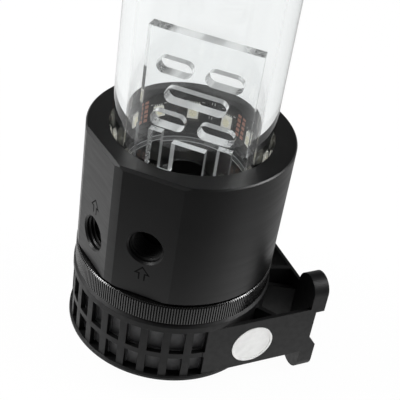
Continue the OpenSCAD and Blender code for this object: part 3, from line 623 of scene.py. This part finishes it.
def strip_details(case, lens, contact, copper, ink, black):
    """The chips and resistors of the light strip, their contacts, and the copper pads and printed ticks."""
    low, high = (Vector(corner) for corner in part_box("led_strip"))
    middle, film = (low.z + high.z) / 2, high.x - STRIP_FILM
    level = middle - CHIP_DROP
    back = math.sqrt(film ** 2 - (CHIP / 2) ** 2)
    cases, lenses, contacts, pads, ticks, resistors = (Shape() for _ in range(6))
    for k in range(CHIPS):
        azimuth = FIRST_CHIP + k * 360 / CHIPS
        here = turned_to(azimuth, level)
        light_chip(cases, here, back)
        well = Matrix.Translation((back - CHIP_T + LENS_DEPTH, 0, 0)) @ Matrix.Rotation(math.pi, 4, "Z")
        lenses.button(LENS_R - LENS_DEPTH, LENS_DEPTH / 2, here @ well)
        for side in (-1, 1):
            for i in range(CONTACTS):
                across = (i - (CONTACTS - 1) / 2) * CONTACT_PITCH
                on_film(contacts, CONTACT, film, azimuth, across, level + side * CONTACT_RISE)
            on_film(ticks, TICK, film, azimuth, side * TICK_AWAY, level + TICK_RISE)
        azimuth += 180 / CHIPS
        for side in (-1, 1):
            if k % PAD_EVERY == 1:
                for row in range(PAD_ROWS):
                    rise = (row - (PAD_ROWS - 1) / 2) * PAD_PITCH
                    on_film(pads, PAD, film, azimuth, side * PAD_AWAY, middle + rise)
            else:
                rise = side * RESISTOR_RISE
                on_film(resistors, RESISTOR, film, azimuth, 0, middle + rise)
                for end in (-1, 1):
                    across = end * (RESISTOR[1] + RESISTOR_END[1]) / 2
                    on_film(contacts, RESISTOR_END, film, azimuth, across, middle + rise)
    for name, slot, shape, material in (
        ("led_cases", "led_white", cases, case), ("led_lenses", "led_white", lenses, lens),
        ("led_contacts", "steel", contacts, contact), ("strip_pads", "copper_wire", pads, copper),
        ("strip_ticks", "badge_white", ticks, ink), ("strip_resistors", "chip_black", resistors, black),
    ):
        piece = new_piece(name, material, shape)
        if name in STANDS_FOR:
            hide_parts(STANDS_FOR[name])


def port_arrow(name, rise, material):
    """A plain arrow drawn as a narrow line on the flat above or below a port."""
    place = port_frame(MOUNTS[name])
    mesh = NODES["reservoir_body"].data
    skin = BVHTree.FromPolygons([v.co for v in mesh.vertices], [p.vertices for p in mesh.polygons])
    outside = place @ Vector((ARROW_START, 0, rise))
    place.translation = skin.ray_cast(outside, place.to_3x3() @ Vector((-1, 0, 0)))[0]
    line = [Vector((0, u * ARROW, z * ARROW)) for u, z in ARROW_POINTS]
    runs = [(b - a).normalized() for a, b in zip(line, line[1:])]
    normals = [Vector((0, -run.z, run.y)) for run in runs]
    rings = []
    for i, point in enumerate(line):
        first, second = normals[max(i - 1, 0)], normals[min(i, len(normals) - 1)]
        mitre = (first + second).normalized()
        out = mitre * (ARROW_LINE / 2 / mitre.dot(first))
        deep = Vector((ARROW_DEPTH, 0, 0))
        ring = (point - out - deep, point + out - deep, point + out + deep, point - out + deep)
        rings.append([place @ p for p in ring])
    shape = Shape()
    shape.sweep(rings)
    new_piece(name + "_arrow", material, shape)


# ---------------------------------------------------------------- the whole


def light_object():
    """Two softboxes light the object, and two gleams give its glossy bevels their bright lines."""
    softbox("left", azimuth=152, elevation=36, distance=1.0, size=0.6, power=9)
    softbox("right", azimuth=-28, elevation=34, distance=1.0, size=0.6, power=7)
    softbox("left_gleam", azimuth=157, elevation=37, distance=0.9, size=0.3, power=7, gleam=True)
    softbox("right_gleam", azimuth=-26, elevation=34, distance=0.9, size=0.3, power=7, gleam=True)


def finish_tank(black):
    """The body, the cap, the tube and the plate in it."""
    finish_node(black, "reservoir_body", "top_cap")
    finish_node(tube_acrylic("clear_acrylic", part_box("reservoir_tube")[0][2]), "reservoir_tube")
    across = Vector(MOUNTS["inlet_port"]["axis"])
    along = across.cross(Vector((0, 0, 1)))
    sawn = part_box("baffle_plate")[0][2] + NOTCH_REACH
    finish_node(plate_acrylic("cut_acrylic", across, along, sawn), "baffle_plate")
    finish_node(anodised("plug_metal", (0.04, 0.04, 0.042)), "fill_plug")
    seal = rubber("seal_rubber", (0.012, 0.012, 0.012))
    finish_node(seal, "tube_lower_seal", "tube_upper_seal", "pump_seal", "fill_plug_seal")
    finish_node(seal, "led_cable_grommet", "pump_cable_gland")


def finish_holder():
    """The holder with its ring, its damper, its inserts and the badge."""
    holder = moulded_plastic("holder_plastic", (0.004, 0.004, 0.0042), specular=0.28)
    finish_node(holder, "pump_holder")
    finish_node(anodised("ring_metal", (0.004, 0.0039, 0.0039)), "retaining_ring")
    finish_node(rubber("damper_rubber", (0.06, 0.06, 0.062), (0.45, 0.6), 0.5), "damper_sleeve")
    finish_node(metal("insert_brass", (0.72, 0.53, 0.22)), "ear_inserts")
    finish_node(glazed("badge_white", (0.83, 0.83, 0.82), (0.3, 0.4)), "badge")


def finish_pump():
    """The motor, the rotor with its bearing and the screws."""
    motor = moulded_plastic("motor_plastic", (0.02, 0.02, 0.022), 0.4, 0.01)
    finish_node(motor, "motor_housing", "motor_end_cap")
    finish_node(moulded_plastic("impeller_plastic", (0.03, 0.03, 0.032)), "impeller")
    finish_node(metal("magnet", (0.12, 0.12, 0.13), (0.4, 0.6)), "rotor_magnet")
    finish_node(glazed("ceramic", (0.85, 0.83, 0.78)), "bearing_cup", "bearing_ball")
    steel = metal("steel", (0.6, 0.61, 0.63))
    finish_node(steel, "bearing_post", "separating_can", "end_cap_screws")
    finish_node(metal("stator_steel", (0.35, 0.36, 0.38), (0.35, 0.5)), "stator_core")
    finish_node(metal("copper_wire", (0.72, 0.33, 0.14)), "stator_coils")


def finish_electronics(chip_black):
    """The circuit board and the light strip's film."""
    finish_node(chip_black, "board_parts")
    finish_node(glazed("board_green", (0.03, 0.17, 0.08)), "circuit_board")
    finish_node(moulded_plastic("strip_film", (0.012, 0.012, 0.011), 0.6, 0.004, (0.3, 0.4)), "led_strip")


def add_pieces(black, chip_black):
    """The pieces that only this scene has, and those that stand in for nodes."""
    port_thread("inlet_port", black)
    port_thread("outlet_port", black)
    mark = moulded_plastic("cut_mark", (0.001, 0.001, 0.001), 0.15, 0.004, (0.6, 0.8), 0.1)
    port_arrow("inlet_port", IN_ARROW_RISE, mark)
    port_arrow("outlet_port", OUT_ARROW_RISE, mark)
    # The chips, lenses, contacts, pads and print of the light strip carry a painted glow; the strip itself is
    # not lit
    strip_details(
        case=glowing("led_case", (0.9, 0.87, 0.78), 0.4),
        lens=glowing("led_lens", (0.85, 0.8, 0.62), 0.45),
        contact=glowing("contact_silver", (0.75, 0.75, 0.72), 0.2, (0.2, 0.3)),
        copper=glowing("pad_copper", (0.45, 0.2, 0.14), 0.3, (0.4, 0.55)),
        ink=glowing("strip_print", (0.8, 0.8, 0.78), 0.1, (0.6, 0.7)),
        black=chip_black,
    )


def main():
    make_camera()
    make_world()
    make_floor()
    light_object()

    black = turned_plastic("black_acetal", (0.003, 0.003, 0.0031))
    chip_black = moulded_plastic("chip_black", (0.02, 0.02, 0.02), 0.1, 0.002)
    finish_tank(black)
    finish_holder()
    finish_pump()
    finish_electronics(chip_black)
    add_pieces(black, chip_black)

    bpy.context.scene.view_settings.view_transform = "Standard"


main()
